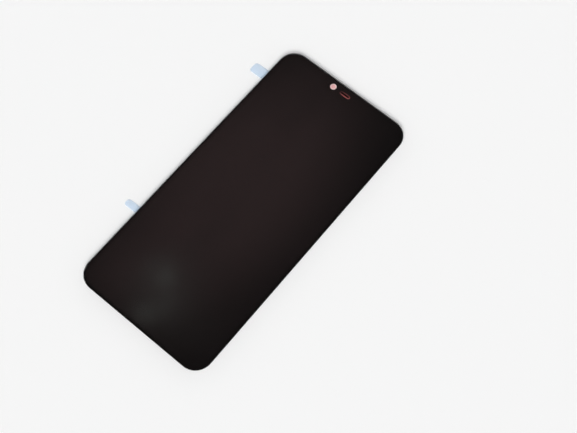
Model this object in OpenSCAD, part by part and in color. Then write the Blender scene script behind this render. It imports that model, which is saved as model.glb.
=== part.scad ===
// Screen assembly of a notched phone: cover glass, liquid-crystal cell, backlight and folded flex circuit.
// Origin at the middle of the viewing face. +Z out of the screen, +Y to the earpiece end, +X to the right.
// Everything lies behind the viewing face, so the layers are stacked downwards from z = 0.

/* [Picture area] */
// Width of the picture area
active_w = 68; // [64:0.1:74]
// Length of the picture area
active_l = 141.4; // [134:0.1:152]
// Radius of the picture area's corners
active_r = 6; // [5:0.1:6.8]
// Width of the notch in the picture area
notch_w = 25; // [24:0.1:32]
// Depth of the notch below the picture area's top edge
notch_d = 5; // [4.7:0.1:6]
// Radius of the notch's two inner corners
notch_r = 3; // [2.6:0.1:3.3]
// Radius of the two corners beside the notch's mouth
notch_ear_r = 1.5; // [1:0.1:1.8]

/* [Cover glass] */
// Black border at each side of the picture
side_border = 2.7; // [2.4:0.1:4]
// Black border above the picture
top_border = 3.6; // [3.2:0.1:4.2]
// Black border below the picture, over the driver ledge and the flex's fold
bottom_border = 8.6; // [7.6:0.1:11]
// Thickness of the cover glass
glass_t = 0.7; // [0.55:0.05:1.1]
// Radius of the glass's four corners
glass_corner_r = 8.7; // [7.6:0.1:9.6]
// How far the front edge's curve runs in from the side
edge_run = 1.3; // [0.8:0.1:1.8]
// How far the front edge's curve drops at the side
edge_drop = 0.35; // [0.15:0.05:0.4]
// Small bevel round the back edge
back_bevel = 0.12; // [0.05:0.01:0.14]
// Bare glass between the edge and the black print
print_inset = 0.16; // [0.15:0.01:0.4]

/* [Camera window and earpiece] */
// Camera window's distance from the centre line, to the left
camera_offset = 7.3; // [6.9:0.1:7.9]
// Camera window's distance below the glass's top edge
camera_in = 4; // [3.9:0.1:4.6]
// Diameter of the clear window in the black print
camera_d = 3.2; // [2.8:0.1:4]
// How far the window's film reaches past the print's edge
camera_film_lap = 0.5; // [0.3:0.05:0.6]
// Length of the earpiece slot in the glass
slot_l = 5.8; // [5:0.1:6.2]
// Width of the earpiece slot in the glass
slot_w = 1.8; // [1.5:0.1:2]
// Earpiece slot's distance below the glass's top edge
slot_in = 4.3; // [4.2:0.1:4.5]
// How far the black print stays back from the slot
slot_print_gap = 0.15; // [0.1:0.05:0.3]
// How far the gasket shows inside the slot
gasket_lip = 0.45; // [0.35:0.05:0.5]
// How far the gasket reaches past the slot behind the print
gasket_lap = 0.9; // [0.7:0.05:0.95]
// Gap between the gasket's collar and the slot's wall
gasket_play = 0.05; // [0.03:0.01:0.1]
// How far the gasket's collar stays below the glass's face
gasket_collar_in = 0.2; // [0.1:0.05:0.3]
// How far the earpiece mesh reaches past the gasket's opening
mesh_lap = 0.6; // [0.4:0.05:0.9]
// Diameter of one mesh hole
mesh_hole_d = 0.25; // [0.15:0.01:0.3]
// Distance between mesh holes
mesh_pitch = 0.42; // [0.38:0.01:0.5]

/* [Layer thicknesses] */
// Black print on the back of the glass
print_t = 0.03; // [0.02:0.01:0.06]
// Clear adhesive between glass and cell
adhesive_t = 0.15; // [0.1:0.01:0.25]
// Front polariser
front_polariser_t = 0.13; // [0.1:0.01:0.2]
// Colour-filter glass
filter_glass_t = 0.2; // [0.15:0.01:0.3]
// Transistor glass
transistor_glass_t = 0.2; // [0.15:0.01:0.3]
// Rear polariser
rear_polariser_t = 0.11; // [0.08:0.01:0.2]
// Black tape between cell and backlight
rim_tape_t = 0.06; // [0.04:0.01:0.1]
// Each of the two prism films
prism_film_t = 0.09; // [0.07:0.01:0.15]
// Diffuser film
diffuser_t = 0.05; // [0.05:0.01:0.1]
// Light guide
guide_t = 0.45; // [0.42:0.01:0.6]
// Reflector film
reflector_t = 0.08; // [0.05:0.01:0.12]
// Steel of the rear pan
pan_t = 0.12; // [0.1:0.01:0.15]
// Both flex circuits
flex_t = 0.1; // [0.08:0.01:0.14]
// Tape that holds the folded flex, and the stiffener beside it
flex_tape_t = 0.1; // [0.06:0.01:0.15]
// Gasket behind the earpiece slot
gasket_t = 0.15; // [0.1:0.01:0.25]
// Earpiece mesh
mesh_t = 0.06; // [0.04:0.01:0.1]
// Release films on the back and behind the camera window
film_t = 0.05; // [0.04:0.01:0.08]

/* [Liquid-crystal cell] */
// Picture area to the cell's edge, at the sides, top and notch
cell_margin = 1; // [0.95:0.05:1.15]
// Picture area to the colour-filter glass's lower edge
cell_lower_margin = 1.1; // [1:0.1:1.4]
// Bare ledge of the transistor glass below the colour-filter glass
ledge_l = 2.9; // [2.8:0.1:3.4]
// Radius of the cell's two lower corners
cell_lower_r = 2.5; // [2:0.1:3]
// How far the polarisers and the adhesive stay inside the cell's edge
polariser_inset = 0.35; // [0.2:0.05:0.6]
// Length, depth and height of the driver chip on the ledge
driver_size = [30, 1, 0.22];
// How far the flex is bonded onto the ledge
bond_l = 1.1; // [0.8:0.1:1.3]

/* [Backlight] */
// Cell's edge to the outside of the pan
pan_margin = 0.25; // [0.2:0.01:0.35]
// Side wall of the white frame
frame_wall = 0.6; // [0.55:0.01:0.65]
// Play round the light guide and films
guide_play = 0.1; // [0.05:0.01:0.15]
// How far the rim tape stays outside the picture
tape_clearance = 0.15; // [0.05:0.05:0.25]
// Picture area to the light guide's lower edge
guide_lower_margin = 1.5; // [1.4:0.1:1.6]
// Distance between lamps
led_pitch = 3.95; // [3.6:0.05:4.4]
// Length, depth and height of one lamp
led_size = [3, 0.9, 0.4];
// Gap between the lamps and the light guide
led_gap = 0.05; // [0.02:0.01:0.08]
// How far the lamp strip lies on the light guide
strip_lap = 0.8; // [0.5:0.1:0.9]
// Width of the lamp strip's tail
strip_tail_w = 6; // [4:0.1:6.4]
// Distance of the tail's middle from the right edge of the pan
strip_tail_in = 10.3; // [9.5:0.1:11]
// Distance of the tail's solder joints above the cell's lower edge
strip_pad_in = 5.7; // [5:0.1:6.5]
// Locating ears of the light guide and films: width along the edge
ear_w = 4; // [3:0.1:6]
// Locating ears: how far they stand out
ear_d = 0.3; // [0.2:0.05:0.35]
// Resin locks through the pan, on each side
lock_count = 6; // [4:1:8]
// Length of one resin lock
lock_l = 3; // [2:0.1:4]
// Width of one resin lock
lock_w = 0.3; // [0.2:0.01:0.35]

/* [Main flex] */
// Width of the flex where it leaves the ledge
flex_w = 38; // [34:0.1:40]
// Straight run between the pan's lower edge and the fold
fold_run = 0.25; // [0.22:0.01:0.4]
// Length of the part that carries the chips
board_l = 12; // [11.6:0.1:13]
// How far the flex's wing reaches past the lamp strip's tail, at the side
wing_side = 2.4; // [1.6:0.1:3]
// How far the flex's wing reaches past the solder joints
wing_past_pad = 3.4; // [2:0.1:3.8]
// Width of the tail that leads to the connector
tail_w = 9; // [7:0.1:11]
// Length of the tail between board and connector head
tail_l = 12.2; // [10:0.1:14]
// Distance of the tail from the centre line, to the left
tail_x = 5; // [2:0.1:8]
// Width and length of the connector head
head_size = [14, 7];
// Outer corner radius of the flex
flex_r = 1.5; // [0.8:0.1:1.8]
// Fillet in the flex's inner corners
flex_fillet = 1; // [0.5:0.1:1.5]
// Number of contacts in each row of the connector
contact_count = 20; // [12:1:24]
// Distance between contacts
contact_pitch = 0.4; // [0.35:0.01:0.42]
// Width of the connector's housing
housing_w = 2.4; // [2.2:0.1:2.8]
// Height of the connector's housing
housing_h = 0.6; // [0.5:0.05:0.8]

/* [Flex components] */
// Touch chip's lower left corner, from the lower left corner of the flex's board
touch_chip_at = [6.2, 4.4];
// Touch chip
touch_chip_size = [4.2, 4.2, 0.45];
// Memory chip's lower left corner, from the board's lower right corner
memory_chip_at = [-13.5, 5];
// Memory chip
memory_chip_size = [3, 2.4, 0.4];
// One capacitor
capacitor_size = [1, 0.5, 0.34];
// End cap's length of a capacitor
cap_l = 0.25; // [0.15:0.01:0.35]
// How far a capacitor's end caps stand out from its body
cap_rim = 0.02; // [0.01:0.01:0.05]
// Two capacitors' distance above the connector head's lower edge
head_capacitor_in = 0.9; // [0.5:0.1:1.2]
// One of the two solder joints of the lamp strip
solder_size = [1.4, 0.8, 0.08];
// Grounding foil's length along the flex's edge
foil_l = 6; // [3:0.1:7]
// How far the foil lies on the pan
foil_on_pan = 7; // [4:0.1:10]
// How far the foil lies on the flex
foil_on_flex = 3.6; // [2:0.1:5]
// Foil's distance above the flex's fold
foil_in = 3.2; // [2.2:0.1:4.5]
// Thickness of the foil
foil_t = 0.06; // [0.04:0.01:0.09]

/* [Rear film and pull tabs] */
// How far the rear film stays inside the pan's edge
film_inset = 0.6; // [0.3:0.1:1.5]
// Gap between the rear film's lower edge and the connector head
film_gap = 3; // [2:0.1:3.6]
// How far the tabs overlap the rear film
tab_lap = 4; // [2:0.1:8]
// How much the tabs droop at their tips
tab_droop = 0.6; // [0.3:0.05:0.6]
// Upper tab's height above the origin
upper_tab_y = 57.5; // [40:0.1:58]
// Upper tab's width
upper_tab_w = 5.6; // [4:0.1:8]
// Upper tab's reach past the glass
upper_tab_reach = 9; // [6:0.1:11]
// Lower tab's height above the origin
lower_tab_y = -34.7; // [-35:0.1:10]
// Lower tab's width
lower_tab_w = 3.6; // [3:0.1:5]
// Lower tab's reach past the glass
lower_tab_reach = 8.2; // [6:0.1:11]

/* [Hidden] */
$fn = 96;

// Overshoot of a cut past the face it goes through
past = 1;

// Glass and picture area in plan
glass_w = active_w + 2 * side_border;
glass_l = active_l + top_border + bottom_border;
active_top = glass_l / 2 - top_border;
active_bottom = active_top - active_l;
notch_y = active_top - notch_d;
camera_at = [-camera_offset, glass_l / 2 - camera_in];
slot_at = [0, glass_l / 2 - slot_in];
edge_arc_r = (edge_run * edge_run + edge_drop * edge_drop) / (2 * edge_drop);

// Levels of the layers, each the back face of the layer it names
z_glass = -glass_t;
z_print = z_glass - print_t;
z_adhesive = z_print - adhesive_t;
z_front_polariser = z_adhesive - front_polariser_t;
z_filter = z_front_polariser - filter_glass_t;
z_transistor = z_filter - transistor_glass_t;
z_rear_polariser = z_transistor - rear_polariser_t;
z_rim_tape = z_rear_polariser - rim_tape_t;
z_upper_prism = z_rim_tape - prism_film_t;
z_lower_prism = z_upper_prism - prism_film_t;
z_diffuser = z_lower_prism - diffuser_t;
z_guide = z_diffuser - guide_t;
z_reflector = z_guide - reflector_t;
z_pan = z_reflector - pan_t;
z_flex_tape = z_pan - flex_tape_t;
z_flex = z_flex_tape - flex_t;

// Outlines in plan, given as growth past the picture area
print_window_grow = 0.15;
adhesive_inset = polariser_inset + 0.15;
pan_grow = cell_margin + pan_margin;
frame_grow = pan_grow - pan_t;
cavity_grow = frame_grow - frame_wall;
guide_grow = cavity_grow - guide_play;
film_grow = pan_grow - film_inset;

// Lower edges of the outlines
filter_bottom = active_bottom - cell_lower_margin;
transistor_bottom = filter_bottom - ledge_l;
pan_bottom = transistor_bottom - pan_margin;
guide_bottom = active_bottom - guide_lower_margin;
led_front = guide_bottom - led_gap;
led_back = led_front - led_size[1];
cavity_bottom = led_back - 0.15;

// Driver chip's lower edge, clear of the flex's bond
driver_y = transistor_bottom + bond_l + 0.4;

// Lamp strip: as many lamps as fit between the frame's two rounded lower corners
strip_top = guide_bottom + strip_lap;
strip_bottom = led_back - 0.08;
strip_end_gap = 1;
strip_room = active_w + 2 * cell_margin - 2 * cell_lower_r;
led_count = floor((strip_room - 2 * strip_end_gap - led_size[0]) / led_pitch) + 1;
strip_l = (led_count - 1) * led_pitch + led_size[0] + 2 * strip_end_gap;
strip_tail_x = active_w / 2 + pan_grow - strip_tail_in;
strip_fold_y = pan_bottom - 0.1;
strip_pad_y = transistor_bottom + strip_pad_in;
tail_slot_play = 0.3;

// Flex in plan
fold_y = pan_bottom - fold_run;
board_top = fold_y + board_l;
head_bottom = board_top + tail_l;
head_top = head_bottom + head_size[1];
connector_at = [-tail_x, (head_bottom + head_top) / 2];
wing_right = strip_tail_x + strip_tail_w / 2 + wing_side;
wing_bottom = pan_bottom + 1;
wing_top = strip_pad_y + wing_past_pad;

// Connector
row_l = (contact_count - 1) * contact_pitch;
housing_l = row_l + 2;
trough_l = row_l + 0.5;
trough_w = 0.8;
trough_d = 0.4;
contact_w = 0.14;
contact_t = 0.06;
foot_l = 0.35;

// Runs of capacitors on the board: x, y, count, step in x, step in y
capacitor_runs = [
    [5.2, 2.6, 4, 1.7, 0], [13, 4, 3, 0, 1.5], [16, 8.4, 4, 1.8, 0], [30, 3.4, 2, 1.6, 0]
];

// Rear film
film_bottom = head_top + film_gap;

// Rounded rectangle with its own radius for the lower and the upper corners.
module rounded_rect(x0, x1, y0, y1, r_low, r_high) {
    y_mid = (y0 + y1) / 2;
    translate([x0 + r_low, y0]) square([x1 - x0 - 2 * r_low, y_mid - y0]);
    translate([x0 + r_high, y_mid]) square([x1 - x0 - 2 * r_high, y1 - y_mid]);
    translate([x0, y0 + r_low]) square([x1 - x0, y1 - y0 - r_low - r_high]);
    for (x = [x0 + r_low, x1 - r_low]) translate([x, y0 + r_low]) circle(r_low);
    for (x = [x0 + r_high, x1 - r_high]) translate([x, y1 - r_high]) circle(r_high);
}

// Slot with round ends, centred on the origin and lying along X.
module slot(l, w) {
    square([l - w, w], center = true);
    for (s = [-1, 1]) translate([s * (l - w) / 2, 0]) circle(w / 2);
}

// Picture area's outline with its notch, grown outwards all round, with its own lower edge.
module notched_outline(grow, bottom, bottom_r) {
    top = active_top + grow;
    half = active_w / 2 + grow;
    mouth = notch_w / 2 - grow;
    ear_r = notch_ear_r + grow;
    difference() {
        rounded_rect(-half, half, bottom, top, bottom_r, active_r + grow);
        rounded_rect(-mouth, mouth, notch_y + grow, top + 3 * past, notch_r - grow, past);
        for (s = [-1, 1]) mirror([s < 0 ? 1 : 0, 0]) difference() {
            translate([mouth - past, top - ear_r]) square([ear_r + past, ear_r + past]);
            translate([mouth + ear_r, top - ear_r]) circle(ear_r);
        }
    }
}

module cell_outline(inset, bottom) {
    notched_outline(cell_margin - inset, bottom, cell_lower_r - inset);
}

module backlight_outline(grow, bottom) {
    notched_outline(grow, bottom, cell_lower_r + grow - cell_margin);
}

// Outline of the light guide and films, with the ears that locate them in the frame.
module film_outline(bottom, ear_play = 0) {
    backlight_outline(guide_grow, bottom);
    for (s = [-1, 1], y = [-active_l / 4, active_l / 4])
        translate([s * (active_w / 2 + guide_grow), y])
            square([2 * (ear_d + ear_play), ear_w + 2 * ear_play], center = true);
}

// A layer with its back face at z_back.
module layer(z_back, t) {
    translate([0, 0, z_back]) linear_extrude(t) children();
}

// Section across the glass's edge, from inside to outside: flat face, curved front edge, bevelled back.
module glass_edge_section() {
    reach = glass_corner_r;
    difference() {
        union() {
            translate([0, -glass_t]) square([reach - edge_run, glass_t]);
            intersection() {
                translate([0, -glass_t]) square([reach, glass_t]);
                translate([reach - edge_run, -edge_arc_r]) circle(edge_arc_r, $fn = 256);
            }
        }
        polygon([
            [reach - back_bevel, -glass_t], [reach, back_bevel - glass_t],
            [reach + past, back_bevel - glass_t], [reach + past, -glass_t - past],
            [reach - back_bevel, -glass_t - past]
        ]);
    }
}

module cover_glass() {
    inner_w = glass_w - 2 * glass_corner_r;
    inner_l = glass_l - 2 * glass_corner_r;
    color([0.03, 0.03, 0.035]) difference() {
        union() {
            translate([-inner_w / 2, -inner_l / 2, -glass_t]) cube([inner_w, inner_l, glass_t]);
            for (q = [[1, 1, 0], [-1, 1, 90], [-1, -1, 180], [1, -1, 270]])
                translate([q[0] * inner_w / 2, q[1] * inner_l / 2, 0]) rotate(q[2])
                    rotate_extrude(angle = 90) glass_edge_section();
            for (a = [0, 180]) rotate(a) translate([inner_w / 2, inner_l / 2, 0])
                rotate([90, 0, 0]) linear_extrude(inner_l) glass_edge_section();
            for (a = [90, 270]) rotate(a) translate([inner_l / 2, inner_w / 2, 0])
                rotate([90, 0, 0]) linear_extrude(inner_w) glass_edge_section();
        }
        translate([slot_at[0], slot_at[1], -glass_t - past]) linear_extrude(glass_t + 2 * past)
            slot(slot_l, slot_w);
    }
}

module border_print() {
    half_w = glass_w / 2 - print_inset;
    half_l = glass_l / 2 - print_inset;
    r = glass_corner_r - print_inset;
    color([0.01, 0.01, 0.01]) layer(z_print, print_t) difference() {
        rounded_rect(-half_w, half_w, -half_l, half_l, r, r);
        print_window();
        translate(camera_at) circle(d = camera_d);
        translate(slot_at) slot(slot_l + 2 * slot_print_gap, slot_w + 2 * slot_print_gap);
    }
}

// The window that the black print leaves for the picture.
module print_window() {
    notched_outline(print_window_grow, active_bottom - print_window_grow, active_r);
}

module optical_adhesive() {
    color([0.9, 0.92, 0.95, 0.4]) {
        layer(z_adhesive, adhesive_t) cell_outline(adhesive_inset, filter_bottom + adhesive_inset);
        layer(z_print, print_t) print_window();
    }
}

module front_polariser() {
    color([0.05, 0.05, 0.06]) layer(z_front_polariser, front_polariser_t)
        cell_outline(polariser_inset, filter_bottom + polariser_inset);
}

module filter_glass() {
    color([0.16, 0.18, 0.2]) layer(z_filter, filter_glass_t) cell_outline(0, filter_bottom);
}

module transistor_glass() {
    color([0.3, 0.36, 0.38]) layer(z_transistor, transistor_glass_t)
        cell_outline(0, transistor_bottom);
}

module driver_chip() {
    color([0.2, 0.2, 0.22]) translate([-driver_size[0] / 2, driver_y, z_filter]) cube(driver_size);
}

module rear_polariser() {
    color([0.08, 0.08, 0.09]) layer(z_rear_polariser, rear_polariser_t)
        cell_outline(polariser_inset, filter_bottom + polariser_inset);
}

module rim_tape() {
    color([0.02, 0.02, 0.02]) layer(z_rim_tape, rim_tape_t) difference() {
        cell_outline(0, transistor_bottom);
        notched_outline(tape_clearance, active_bottom - tape_clearance, active_r);
    }
}

module upper_prism_film() {
    color([0.85, 0.88, 0.9]) layer(z_upper_prism, prism_film_t) film_outline(strip_top + guide_play);
}

module lower_prism_film() {
    color([0.8, 0.84, 0.88]) layer(z_lower_prism, prism_film_t) film_outline(strip_top + guide_play);
}

module diffuser_film() {
    color([0.93, 0.93, 0.92]) layer(z_diffuser, diffuser_t) film_outline(strip_top + guide_play);
}

module light_guide() {
    color([0.88, 0.94, 0.95]) layer(z_guide, guide_t) film_outline(guide_bottom);
}

module reflector_film() {
    color([0.96, 0.96, 0.97]) layer(z_reflector, reflector_t) film_outline(cavity_bottom + guide_play);
}

// Sheet folded round the module's lower edge: level from y_start, half a turn about y_fold, level to y_end.
// Drawn as a section in the Y-Z plane, then drawn out along X.
module folded_sheet(x0, x1, y_start, y_fold, y_end, z_front, z_rear) {
    r_in = (z_front - z_rear) / 2;
    z_mid = (z_front + z_rear) / 2;
    translate([x0, 0, 0]) rotate([90, 0, 90]) linear_extrude(x1 - x0) {
        translate([y_fold, z_front]) square([y_start - y_fold, flex_t]);
        translate([y_fold, z_rear - flex_t]) square([y_end - y_fold, flex_t]);
        translate([y_fold, z_mid]) difference() {
            circle(r_in + flex_t);
            circle(r_in);
            translate([0, -r_in - flex_t - past])
                square([r_in + flex_t + past, 2 * (r_in + flex_t + past)]);
        }
    }
}

module led_strip() {
    x0 = strip_tail_x - strip_tail_w / 2;
    x1 = strip_tail_x + strip_tail_w / 2;
    color([0.93, 0.93, 0.88]) {
        translate([-strip_l / 2, strip_bottom, z_diffuser])
            cube([strip_l, strip_top - strip_bottom, flex_t]);
        folded_sheet(x0, x1, strip_top, strip_fold_y, strip_pad_y, z_diffuser, z_flex);
    }
}

module leds() {
    color([0.97, 0.9, 0.45]) for (i = [0 : led_count - 1]) {
        led_x = (i - (led_count - 1) / 2) * led_pitch;
        translate([led_x - led_size[0] / 2, led_back, z_diffuser - led_size[2]]) cube(led_size);
    }
}

// Plan of the resin locks, which lie under the frame's two side walls.
module resin_locks() {
    lock_x = active_w / 2 + frame_grow - frame_wall / 2;
    span = active_l * 0.8;
    for (s = [-1, 1], i = [0 : lock_count - 1])
        translate([s * lock_x, -span / 2 + i * span / (lock_count - 1)])
            square([lock_w, lock_l], center = true);
}

module backlight_frame() {
    tail_slot_w = strip_tail_w + 2 * tail_slot_play;
    color([0.95, 0.95, 0.94]) {
        difference() {
            layer(z_reflector, z_rim_tape - z_reflector) difference() {
                backlight_outline(frame_grow, pan_bottom + pan_t);
                backlight_outline(cavity_grow, cavity_bottom);
                film_outline(cavity_bottom, guide_play);
            }
            translate([strip_tail_x - tail_slot_w / 2, pan_bottom, z_diffuser])
                cube([tail_slot_w, cavity_bottom - pan_bottom + past, glass_t + past]);
        }
        layer(z_pan, pan_t) resin_locks();
    }
}

// Stretches of the pan's edge that are folded up: [x0, x1, y0, y1].
function flap_zones() = let (
    half = active_w / 2 + pan_grow,
    top = active_top + pan_grow,
    mouth = notch_w / 2 - pan_grow,
    relief = 1.2,
    side_low = pan_bottom + cell_lower_r + pan_margin + relief,
    side_high = top - active_r - pan_grow - relief,
    ear_x0 = mouth + notch_ear_r + pan_grow + relief,
    ear_x1 = half - active_r - pan_grow - relief,
    inner_x = mouth - notch_r + pan_grow - relief / 2,
    strip_x = strip_tail_x - strip_tail_w / 2 - relief,
    low_x = half - cell_lower_r - pan_margin - relief
) [
    [half - past, half + past, side_low, side_high],
    [-half - past, past - half, side_low, side_high],
    [ear_x0, ear_x1, top - past, top + past],
    [-ear_x1, -ear_x0, top - past, top + past],
    [-inner_x, inner_x, notch_y + pan_grow - past, notch_y + pan_grow + past / 2],
    [-low_x, strip_x, pan_bottom - past, pan_bottom + past]
];

module rear_pan() {
    wall_h = z_rim_tape - z_reflector;
    color([0.75, 0.76, 0.78]) {
        layer(z_pan, pan_t) difference() {
            backlight_outline(pan_grow, pan_bottom);
            resin_locks();
        }
        intersection() {
            layer(z_reflector, wall_h) difference() {
                backlight_outline(pan_grow, pan_bottom);
                backlight_outline(frame_grow, pan_bottom + pan_t);
            }
            for (f = flap_zones()) translate([f[0], f[2], z_reflector - past])
                cube([f[1] - f[0], f[3] - f[2], wall_h + 2 * past]);
        }
    }
}

// Fills the corner at the origin between +X and +Y with a round fillet.
module corner_fill(r) {
    difference() {
        translate([-flex_t, -flex_t]) square(r + flex_t);
        translate([r, r]) circle(r);
    }
}

// Plan of the flex behind the pan: board, wing for the lamp strip, tail and connector head.
module flex_plan() {
    half = flex_w / 2;
    tail_l_x = -tail_x - tail_w / 2;
    tail_r_x = -tail_x + tail_w / 2;
    head_half = head_size[0] / 2;
    translate([-half, fold_y]) square([flex_w, board_l / 2]);
    rounded_rect(-half, half, fold_y, board_top, flex_t, flex_r);
    rounded_rect(half - 3 * flex_r, wing_right, wing_bottom, wing_top, flex_r, flex_r);
    translate([tail_l_x, board_top - flex_r]) square([tail_w, tail_l + 2 * flex_r]);
    rounded_rect(-tail_x - head_half, head_half - tail_x, head_bottom, head_top, flex_r, flex_r);
    translate([tail_l_x, board_top]) rotate(90) corner_fill(flex_fillet);
    translate([tail_r_x, board_top]) corner_fill(flex_fillet);
    translate([tail_l_x, head_bottom]) rotate(180) corner_fill(flex_fillet);
    translate([tail_r_x, head_bottom]) rotate(270) corner_fill(flex_fillet);
    translate([half, wing_top]) corner_fill(flex_fillet);
}

module main_flex() {
    color([0.62, 0.36, 0.08]) {
        folded_sheet(-flex_w / 2, flex_w / 2, transistor_bottom + bond_l, fold_y, board_top - flex_r,
            z_filter, z_flex_tape);
        layer(z_flex, flex_t) flex_plan();
    }
}

module flex_tape() {
    inset = 1;
    color([0.15, 0.15, 0.15]) layer(z_flex_tape, flex_tape_t)
        rounded_rect(inset - flex_w / 2, flex_w / 2 - inset, wing_bottom, board_top - inset, flex_t, flex_t);
}

module connector_stiffener() {
    inset = 0.4;
    half = head_size[0] / 2 - inset;
    r = flex_r - inset;
    color([0.7, 0.71, 0.73]) layer(z_flex_tape, flex_tape_t)
        rounded_rect(-tail_x - half, half - tail_x, head_bottom + inset, head_top - inset, r, r);
}

module connector_housing() {
    color([0.9, 0.87, 0.78]) translate([connector_at[0], connector_at[1], z_flex - housing_h]) difference() {
        translate([-housing_l / 2, -housing_w / 2, 0]) cube([housing_l, housing_w, housing_h]);
        translate([-trough_l / 2, -trough_w / 2, -past]) cube([trough_l, trough_w, trough_d + past]);
        for (s = [-1, 1]) contact_row(s) contact_groove();
    }
}

// Places a copy at each contact of one row; the copy's +Y points out of the connector.
module contact_row(side) {
    for (i = [0 : contact_count - 1]) translate([(i - (contact_count - 1) / 2) * contact_pitch, 0, 0])
        rotate(side > 0 ? 0 : 180) children();
}

// Groove that lets a contact lie flush in the housing's wall, over its top and down both sides.
module contact_groove() {
    wall_in = trough_w / 2;
    over = trough_w / 4;
    reach = housing_w / 2;
    translate([-contact_w / 2, wall_in - over, -past])
        cube([contact_w, reach - wall_in + over + past, past + contact_t]);
    translate([-contact_w / 2, reach - contact_t, -past])
        cube([contact_w, past, housing_h + 2 * past]);
}

// One contact: solder foot on the flex, strip up the wall's outside, over its top and down inside the trough.
module contact() {
    wall_in = trough_w / 2;
    wall = housing_w / 2 - wall_in;
    translate([-contact_w / 2, wall_in, 0]) {
        translate([0, wall - contact_t, 0]) cube([contact_w, contact_t, housing_h]);
        translate([0, wall - contact_t, housing_h - contact_t])
            cube([contact_w, foot_l + contact_t, contact_t]);
        translate([0, -contact_t, 0]) cube([contact_w, wall + contact_t, contact_t]);
        translate([0, -contact_t, 0]) cube([contact_w, contact_t, trough_d - contact_t]);
    }
}

module connector_contacts() {
    color([0.85, 0.68, 0.3]) translate([connector_at[0], connector_at[1], z_flex - housing_h])
        for (s = [-1, 1]) contact_row(s) contact();
}

module connector_anchors() {
    plate_t = 0.12;
    foot = 0.4;
    anchor_w = housing_w - 0.6;
    color([0.78, 0.78, 0.75]) translate([connector_at[0], connector_at[1], z_flex - housing_h])
        for (a = [0, 180]) rotate(a) translate([housing_l / 2, -anchor_w / 2, 0]) {
            cube([plate_t, anchor_w, housing_h]);
            translate([0, 0, housing_h - plate_t]) cube([foot, anchor_w, plate_t]);
        }
}

// A chip on the flex's outer face, with its lower left corner given from a lower corner of the board.
module flex_chip(from_x, at, size) {
    translate([from_x + at[0], fold_y + at[1], z_flex - size[2]]) cube(size);
}

module touch_chip() {
    color([0.08, 0.08, 0.09]) flex_chip(-flex_w / 2, touch_chip_at, touch_chip_size);
}

module memory_chip() {
    color([0.1, 0.1, 0.11]) flex_chip(flex_w / 2, memory_chip_at, memory_chip_size);
}

// One ceramic capacitor, with end caps a little larger than its body.
module capacitor() {
    size = capacitor_size;
    translate([cap_l, cap_rim, 0]) cube([size[0] - 2 * cap_l, size[1] - 2 * cap_rim, size[2] - cap_rim]);
    for (x = [0, size[0] - cap_l]) translate([x, 0, 0]) cube([cap_l, size[1], size[2]]);
}

// Places a capacitor on the flex's outer face, from the board's lower left corner.
module capacitor_at(x, y, turn = 0) {
    translate([x - flex_w / 2, y + fold_y, z_flex]) mirror([0, 0, 1]) rotate(turn) capacitor();
}

module flex_capacitors() {
    color([0.55, 0.42, 0.3]) {
        for (run = capacitor_runs, i = [0 : run[2] - 1])
            capacitor_at(run[0] + i * run[3], run[1] + i * run[4], run[3] == 0 ? 90 : 0);
        for (s = [-1, 1]) capacitor_at(flex_w / 2 - tail_x + s * 3 - capacitor_size[0] / 2,
            head_bottom - fold_y + head_capacitor_in);
    }
}

// Two solder joints that run from the lamp strip's end down onto the main flex.
module led_solder() {
    size = solder_size;
    solder_z = z_flex - flex_t - size[2];
    color([0.8, 0.8, 0.82]) for (s = [-1, 1])
        translate([strip_tail_x + s * strip_tail_w / 4 - size[0] / 2, strip_pad_y, solder_z]) {
            cube([size[0], size[1], flex_t + size[2]]);
            translate([0, -size[1], 0]) cube([size[0], 2 * size[1], size[2]]);
        }
}

// Conductive foil: flat on the pan, up the flex's edge, and flat on the flex.
module grounding_foil() {
    color([0.72, 0.72, 0.7]) translate([-flex_w / 2, fold_y + foil_in, 0]) {
        translate([-foil_on_pan, 0, z_pan - foil_t]) cube([foil_on_pan, foil_l, foil_t]);
        translate([-foil_t, 0, z_flex - foil_t]) cube([foil_t, foil_l, z_pan - z_flex + foil_t]);
        translate([-foil_t, 0, z_flex - foil_t]) cube([foil_on_flex + foil_t, foil_l, foil_t]);
    }
}

// Gasket: a flat ring stuck behind the print, with a collar that lines the slot in the glass.
module earpiece_gasket() {
    collar_h = gasket_t - z_print - gasket_collar_in;
    color([0.45, 0.13, 0.12]) translate([slot_at[0], slot_at[1], z_print - gasket_t])
        difference() {
            union() {
                linear_extrude(gasket_t) slot(slot_l + 2 * gasket_lap, slot_w + 2 * gasket_lap);
                linear_extrude(collar_h) slot(slot_l - 2 * gasket_play, slot_w - 2 * gasket_play);
            }
            translate([0, 0, -past]) linear_extrude(collar_h + 2 * past)
                slot(slot_l - 2 * gasket_lip, slot_w - 2 * gasket_lip);
        }
}

module earpiece_mesh() {
    opening_l = slot_l - 2 * gasket_lip;
    opening_w = slot_w - 2 * gasket_lip;
    columns = floor((opening_l - opening_w / 2) / mesh_pitch / 2);
    rows = floor((opening_w - mesh_hole_d) / mesh_pitch / 2);
    color([0.04, 0.04, 0.04]) translate([slot_at[0], slot_at[1], z_print - gasket_t - mesh_t])
        linear_extrude(mesh_t) difference() {
            slot(opening_l + 2 * mesh_lap, opening_w + 2 * mesh_lap);
            for (i = [-columns : columns], j = [-rows : rows])
                translate([i * mesh_pitch, j * mesh_pitch]) circle(d = mesh_hole_d);
        }
}

module camera_film() {
    color([0.95, 0.85, 0.85]) translate([camera_at[0], camera_at[1], z_print - film_t])
        cylinder(h = film_t, d = camera_d + 2 * camera_film_lap);
}

module rear_film() {
    color([0.75, 0.85, 0.95, 0.5]) layer(z_pan - film_t, film_t)
        notched_outline(film_grow, film_bottom, active_r + film_grow);
}

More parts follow.
